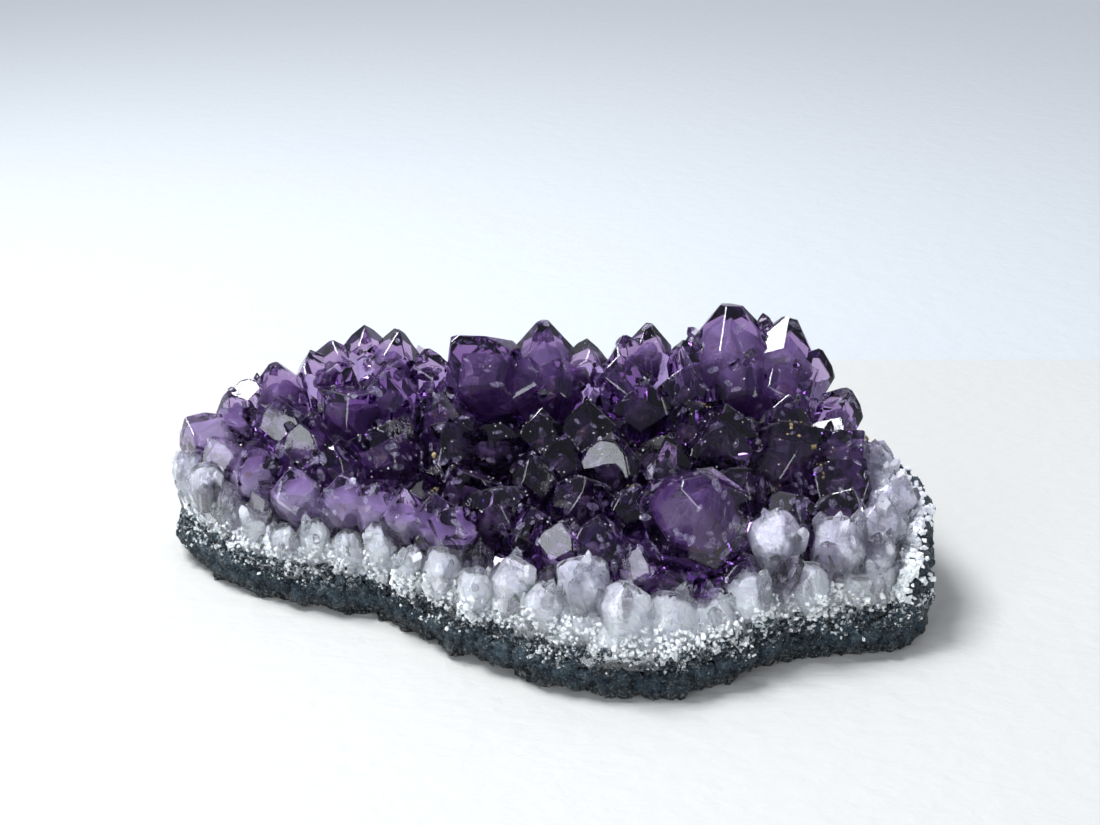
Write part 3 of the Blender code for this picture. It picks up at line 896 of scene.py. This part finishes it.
def point_form(name, tip_share, squeeze, lean):
    """A small quartz crystal of unit length on the origin: a six-sided prism cut to a point by six faces."""
    deselect_all()
    bpy.ops.mesh.primitive_cylinder_add(vertices=6, radius=0.32, depth=1.0, location=(0, 0, 0.5))
    form = name_form(name)
    steep = math.radians(POINT_SLOPE_DEG)
    flat = math.sin(steep)
    with editing(form):
        for number in range(6):
            around = math.radians(60 * number + 30)
            drop = 0.0 if number % 2 else lean * (0.5 + 0.5 * math.sin(number * 1.7))
            normal = (flat * math.cos(around), flat * math.sin(around), math.cos(steep))
            bpy.ops.mesh.select_all(action="SELECT")
            cut((0, 0, 1.0 - drop * tip_share), normal)
        bpy.ops.mesh.select_all(action="SELECT")
        bpy.ops.transform.resize(value=(1.0, squeeze, 1.0))
    bpy.ops.object.transform_apply(location=True, rotation=True, scale=True)
    bpy.ops.object.shade_flat()
    return form


def grain_form():
    """A sugar grain: a small broken block."""
    deselect_all()
    bpy.ops.mesh.primitive_cube_add(size=0.8)
    form = name_form("grain")
    breaks = [
        ((0.3, 0.2, 0.2), (1, 0.8, 0.6)), ((-0.3, 0.1, 0.3), (-1, 0.3, 0.9)),
        ((0, -0.3, -0.3), (0.2, -1, -0.8)),
    ]
    with editing(form):
        bpy.ops.transform.resize(value=(1.0, 0.8, 1.3))
        for place, normal in breaks:
            bpy.ops.mesh.select_all(action="SELECT")
            cut(place, normal)
    bpy.ops.object.shade_flat()
    return form


def crack_form():
    """A healed crack: a thin flake of unit width on the origin."""
    deselect_all()
    bpy.ops.mesh.primitive_circle_add(vertices=7, radius=0.5, fill_type="NGON")
    form = name_form("crack")
    with editing(form):
        bpy.ops.transform.resize(value=(1.0, 0.5, 1.0))
        bpy.ops.mesh.extrude_region_move(TRANSFORM_OT_translate={"value": (0, 0, 0.04)})
        bpy.ops.mesh.select_all(action="SELECT")
        bpy.ops.mesh.normals_make_consistent(inside=False)
    bpy.ops.object.shade_flat()
    return form


def grow(name, places, forms):
    """Many small crystals as one mesh. places are (root, direction, length, width, turn)."""
    bm = bmesh.new()
    for number, (spot, direction, length, width, turn) in enumerate(places):
        before = len(bm.verts)
        bm.from_mesh(forms[number % len(forms)].data)
        bm.verts.ensure_lookup_table()
        stand = direction.to_track_quat("Z", "Y")
        cos_turn, sin_turn = math.cos(turn), math.sin(turn)
        for vert in bm.verts[before:]:
            x, y, z = vert.co
            across, along = x * cos_turn - y * sin_turn, x * sin_turn + y * cos_turn
            vert.co = spot + stand @ Vector((across * width, along * width, z * length))
    return link_bmesh(name, bm)


def places_on(piece, count, chooser, wanted):
    """Random spots on a piece's surface that wanted(spot, normal) accepts, spread by area."""
    mesh = piece.data
    mesh.calc_loop_triangles()
    triangles = [tri for tri in mesh.loop_triangles if wanted(Vector(tri.center), Vector(tri.normal))]
    weights = [tri.area for tri in triangles]
    found = []
    for tri in chooser.choices(triangles, weights, k=count):
        a, b, c = (mesh.vertices[i].co for i in tri.vertices)
        u, v = sorted((chooser.random(), chooser.random()))
        found.append((a * u + b * (v - u) + c * (1 - v), Vector(tri.normal)))
    return found


def band_places(shell, count, seed, lowest_mm, highest_mm):
    """Random spots on the band's outer side between two heights, with the way out from each."""
    centre_x, centre_y = (value * MM for value in BAND_CENTRE_MM)

    def on_side(spot, normal):
        outward = Vector((spot.x - centre_x, spot.y - centre_y, 0.0)).normalized()
        at_level = lowest_mm * MM < spot.z < highest_mm * MM
        return at_level and (normal.dot(outward) > 0.1 or normal.z > 0.6)

    return places_on(shell, count, random.Random(seed), on_side)


def add_grain(places, chooser, spot, normal, sizes_mm, lift, widths=(0.7, 1.1)):
    """Adds a loose grain on a surface, where it fits. lift is how far out it sits, in its own sizes."""
    size = chooser.triangular(*sizes_mm) * MM
    direction = random_lean(chooser, 1).normalized()
    if fits(spot + normal * size * 0.7):
        places.append((spot + normal * size * lift, direction, size, size * chooser.uniform(*widths), 0.0))


def quartz_columns(shell, name, count, seed, sizes_mm, wide, forms, finish):
    """Upright quartz crystals that stand out of the band's side, longest high up."""
    chooser = random.Random(seed)
    places = []
    for spot, normal in band_places(shell, count, seed, BAND_FOOT_MM + 3.0, 40.0):
        rise = min(max((spot.z - 9.0 * MM) / (9.0 * MM), 0.0), 1.0)
        length = chooser.uniform(*sizes_mm) * (0.55 + 0.45 * rise) * MM
        lean = random_lean(chooser, 0.3)
        direction = (normal * 0.35 + Vector((0, 0, 1)) + lean * 0.8).normalized()
        width = length * chooser.uniform(*wide)
        start = spot - direction * length * 0.55
        if fits(start + direction * length * 1.05 + normal * width * 0.25):
            places.append((start, direction, length, width, any_turn(chooser)))
    dress(grow(name, places, forms), finish, "white_quartz")


def sugar_grains(shell, name, count, seed, levels_mm, sizes_mm, form, finish, slot):
    """Grains that crust the foot of the band, where it meets the dark rock."""
    chooser = random.Random(seed)
    places = []
    for spot, normal in band_places(shell, count, seed, *levels_mm):
        add_grain(places, chooser, spot, normal, sizes_mm, 0.15)
    dress(grow(name, places, [form]), finish, slot)


def rock_dust(rind, count, sizes_mm, form, finish):
    """White grains on the rock's side, thick where it meets the quartz and few lower down."""
    chooser = random.Random(SEED + 71)

    def on_side(spot, normal):
        return 3.0 * MM < spot.z < 9.5 * MM and normal.z > -0.3

    places = []
    for spot, normal in places_on(rind, count, chooser, on_side):
        patch = 0.5 + 0.5 * math.sin(spot.x * 260 + 1.3) * math.sin(spot.x * 97 + spot.y * 140)
        rise = (spot.z / MM - 4.2) / 3.2
        if chooser.random() <= rise * patch:
            add_grain(places, chooser, spot, normal, sizes_mm, 0.1)
    dress(grow("rock_dust", places, [form]), finish, "white_quartz")


def front_petals(forms, finish):
    """Pale crystals that stand close along the front, where the purple crust turns into clear quartz."""
    chooser = random.Random(SEED + 21)
    places = []
    for first, last, count, length, wide in PETAL_ROWS:
        for number in range(count):
            share = (number + chooser.uniform(0.2, 0.8)) / count
            tall = length * chooser.uniform(0.75, 1.2)
            root = Vector(a + (b - a) * share for a, b in zip(first, last)) + random_lean(chooser, 0.8)
            direction = Vector((chooser.uniform(-0.28, 0.28), chooser.uniform(-0.55, -0.1), 1.0)).normalized()
            if fits((root + direction * tall) * MM):
                width = wide * chooser.uniform(0.8, 1.25) * MM / 0.64
                places.append((root * MM, direction, tall * MM, width, any_turn(chooser)))
    piece = grow("front_petals", places, forms)
    chamfer(piece, 0.1, 1.0)
    dress(piece, finish, "amethyst")


def inner_cracks(crust, name, count, at_front, form, finish):
    """Healed cracks just under the faces of the crystals, which catch the light."""
    chooser = random.Random(SEED + len(name))

    def seen(spot, normal):
        in_front = spot.z < 26 * MM and spot.y < 12 * MM and normal.y < 0.3
        return normal.z > -0.2 and (in_front or not at_front)

    places = []
    for spot, normal in places_on(crust, count, chooser, seen):
        size = chooser.triangular(0.6, 3.8, 1.3) * MM
        direction = (normal + random_lean(chooser, 0.7)).normalized()
        start = spot - normal * (0.1 * MM + 0.22 * size)
        places.append((start, direction, size, size, any_turn(chooser)))
    dress(grow(name, places, [form]), finish, "amethyst")


def valley_crumbs(crust, name, spots, count, spread_mm, sizes_mm, form, finish):
    """Crumbs that lie in the valleys between the crystals, round some spots (x, y in millimetres)."""
    chooser = random.Random(SEED + len(name))
    tree = BVHTree.FromObject(crust, bpy.context.evaluated_depsgraph_get())
    places = []
    for number in range(count):
        x, y = spots[number % len(spots)]
        start = Vector((x + chooser.gauss(0, spread_mm), y + chooser.gauss(0, spread_mm), 80.0)) * MM
        hit, normal, _, _ = tree.ray_cast(start, Vector((0, 0, -1)))
        if hit is not None:
            add_grain(places, chooser, hit, normal, sizes_mm, 0.1, (0.8, 1.3))
    dress(grow(name, places, [form]), finish, "amethyst")


def wall_quartz(rind, forms, grain, clear, sugar):
    """Pale quartz that covers the inner side of the rock's standing edge at the right end."""
    chooser = random.Random(SEED + 51)
    bare_from = solid_box[1][0] - WALL_BARE_MM * MM

    def inner_side(spot, normal):
        on_top = spot.x < bare_from and normal.z > 0.6
        return spot.x > WALL_LEFT_MM * MM and spot.z > WALL_FOOT_MM * MM and (normal.x < -0.1 or on_top)

    grains, columns = [], []
    for spot, normal in places_on(rind, 1500, chooser, inner_side):
        size = chooser.triangular(0.5, 1.8, 0.8) * MM
        direction = random_lean(chooser, 1).normalized()
        if fits(spot + normal * size):
            inward = Vector((-1.2, 0, 0)) * MM * chooser.random()
            grains.append((spot + inward, direction, size, size, 0.0))
    for spot, _ in places_on(rind, 100, chooser, inner_side):
        length = chooser.uniform(2.5, 5.0) * MM
        direction = (Vector((-0.25, 0, 1)) + random_lean(chooser, 0.3)).normalized()
        start = spot + Vector((-1.0, 0, 0)) * MM - direction * length * 0.6
        if fits(spot + direction * length * 0.5):
            width = length * chooser.uniform(0.5, 0.8)
            columns.append((start, direction, length, width, any_turn(chooser)))
    dress(grow("wall_grains", grains, [grain]), sugar, "white_quartz")
    dress(grow("wall_columns", columns, forms), clear, "white_quartz")


def small_amethysts(crust, forms, finish):
    """Small purple crystals in the valleys between the large ones."""
    chooser = random.Random(SEED + 3)
    bm = bmesh.new()
    bm.from_mesh(crust.data)
    places = []
    for edge in bm.edges:
        if edge.is_convex or len(edge.link_faces) != 2 or edge.calc_length() < 1.2 * MM:
            continue
        if edge.calc_face_angle(0.0) < math.radians(25):
            continue
        out = (edge.link_faces[0].normal + edge.link_faces[1].normal).normalized()
        if out.z < 0.15:
            continue
        first, last = (vert.co for vert in edge.verts)
        for _ in range(int(edge.calc_length() / (6.0 * MM) + chooser.random())):
            spot = first.lerp(last, chooser.random())
            length = chooser.triangular(1.8, 7.5, 3.0) * MM
            direction = (out + random_lean(chooser, 0.45)).normalized()
            if fits(spot + direction * length * 0.75):
                start = spot - direction * length * 0.3
                wide = length * chooser.uniform(0.6, 1.1)
                places.append((start, direction, length, wide, any_turn(chooser)))
    bm.free()
    dress(grow("small_amethysts", places, forms), finish, "amethyst")


# ---------------------------------------------------------------- stage


def add_sheet(name, half_mm, back_mm, level_mm, finish):
    """A flat sheet of the stage: half_mm to each side and to the front, and back_mm to the back."""
    deselect_all()
    middle = (back_mm - half_mm) / 2 * MM
    bpy.ops.mesh.primitive_plane_add(size=1.0, location=(0, middle, level_mm * MM))
    sheet = name_form(name)
    sheet.scale = (2 * half_mm * MM, (back_mm + half_mm) * MM, 1.0)
    bpy.ops.object.transform_apply(location=True, rotation=True, scale=True)
    sheet.data.materials.append(finish)


def add_lamp(name, place_mm, aim_mm, size_mm, watts, colour):
    lamp = bpy.data.lights.new(name, "AREA")
    lamp.shape = "RECTANGLE"
    lamp.size, lamp.size_y = (side * MM for side in size_mm)
    lamp.energy = watts
    lamp.color = colour
    obj = link_object(name, lamp)
    obj.location = Vector(place_mm) * MM
    obj.rotation_mode = "QUATERNION"
    obj.rotation_quaternion = (Vector(aim_mm) - Vector(place_mm)).to_track_quat("-Z", "Y")


def set_stage():
    add_sheet("paper_sheet", PAPER_HALF_MM, PAPER_BACK_MM, PAPER_LEVEL_MM, paper_finish())
    add_sheet("ground_sheet", GROUND_HALF_MM, GROUND_HALF_MM, GROUND_LEVEL_MM, ground_finish())
    for name, values in LAMPS.items():
        add_lamp(name, *values)
    world = bpy.data.worlds.new("soft_room")
    world.use_nodes = True
    room = world.node_tree.nodes["Background"]
    set_inputs(room, {"Color": ROOM_COLOUR, "Strength": ROOM_LIGHT})
    scene = bpy.context.scene
    scene.world = world
    scene.view_settings.view_transform = "Standard"
    scene.cycles.max_bounces = LIGHT_BOUNCES
    scene.cycles.transmission_bounces = scene.cycles.transparent_max_bounces = GLASS_BOUNCES


def set_camera():
    lens = bpy.data.cameras.new("camera")
    lens.lens, lens.sensor_width = LENS_MM, SENSOR_MM
    lens.clip_start, lens.clip_end = 0.01, 20.0
    camera = link_object("camera", lens)
    camera.location = Vector(CAMERA_PLACE_MM) * MM
    camera.rotation_euler = (math.radians(90 - CAMERA_DOWN_DEG), 0, 0)
    bpy.context.scene.camera = camera


deselect_all()
set_camera()
set_stage()
growth, speckle, zone, veil = growth_group(), speckle_group(), zone_group(), veil_group()
stone = amethyst_finish("clear_amethyst", growth, zone, STONE_TINTS, STONE_DENSITY)
pale_stone = amethyst_finish("pale_amethyst", growth, zone, PETAL_TINTS, PETAL_DENSITY)
clear_quartz = clear_quartz_finish("clear_quartz", growth, 0.03, 0.94)
frosted_quartz = clear_quartz_finish("frosted_quartz", growth, 0.12, 0.5)
sugar = frosty_finish(speckle, growth)
rock = rock_finish(speckle)
hearts = heart_finish(zone, veil, speckle)
gleam = gleam_finish()
ochre, dust = crumb_finish("ochre", OCHRE_COLOURS), crumb_finish("dust", DUST_COLOURS)
forms = [
    point_form("stout_point", 0.5, 1.0, 0.4),
    point_form("three_faced_point", 0.7, 0.85, 0.9),
    point_form("flat_point", 0.6, 0.7, 0.6),
]
grain, crack = grain_form(), crack_form()

crust = amethyst_crust(stone)
crystal_hearts(crust, hearts)
milky_roots(crust, hearts)
small_amethysts(crust, forms, stone)
front_petals(forms, pale_stone)
shell = quartz_shell(clear_quartz)
quartz_core(shell, sugar)
quartz_columns(shell, "clear_columns", 360, SEED + 11, (4.0, 8.5), (0.45, 0.8), forms, clear_quartz)
quartz_columns(shell, "frosted_columns", 460, SEED + 12, (2.5, 5.5), (0.55, 0.95), forms, frosted_quartz)
for name, count, seed, levels_mm, sizes_mm, finish, slot in (
    ("sugar_grains", 8000, 13, (7.0, 12.0), (0.25, 1.2, 0.42), sugar, "white_quartz"),
    ("dark_grains", 2000, 14, (6.0, 9.5), (0.3, 1.5, 0.6), rock, "dark_rock"),
):
    sugar_grains(shell, name, count, SEED + seed, levels_mm, sizes_mm, grain, finish, slot)
rind = rock_rind(rock)
rock_dust(rind, 20000, (0.15, 0.9, 0.25), grain, sugar)
inner_cracks(crust, "inner_cracks", 520, False, crack, gleam)
inner_cracks(crust, "front_cracks", 420, True, crack, gleam)
valley_crumbs(crust, "ochre_crumbs", OCHRE_SPOTS_MM, 34, 1.3, (0.3, 1.1, 0.4), grain, ochre)
valley_crumbs(crust, "white_dust", DUST_SPOTS_MM, 420, 9.0, (0.12, 0.34, 0.16), grain, dust)
wall_quartz(rind, forms, grain, clear_quartz, sugar)
for form in forms + [grain, crack]:
    bpy.data.objects.remove(form, do_unlink=True)
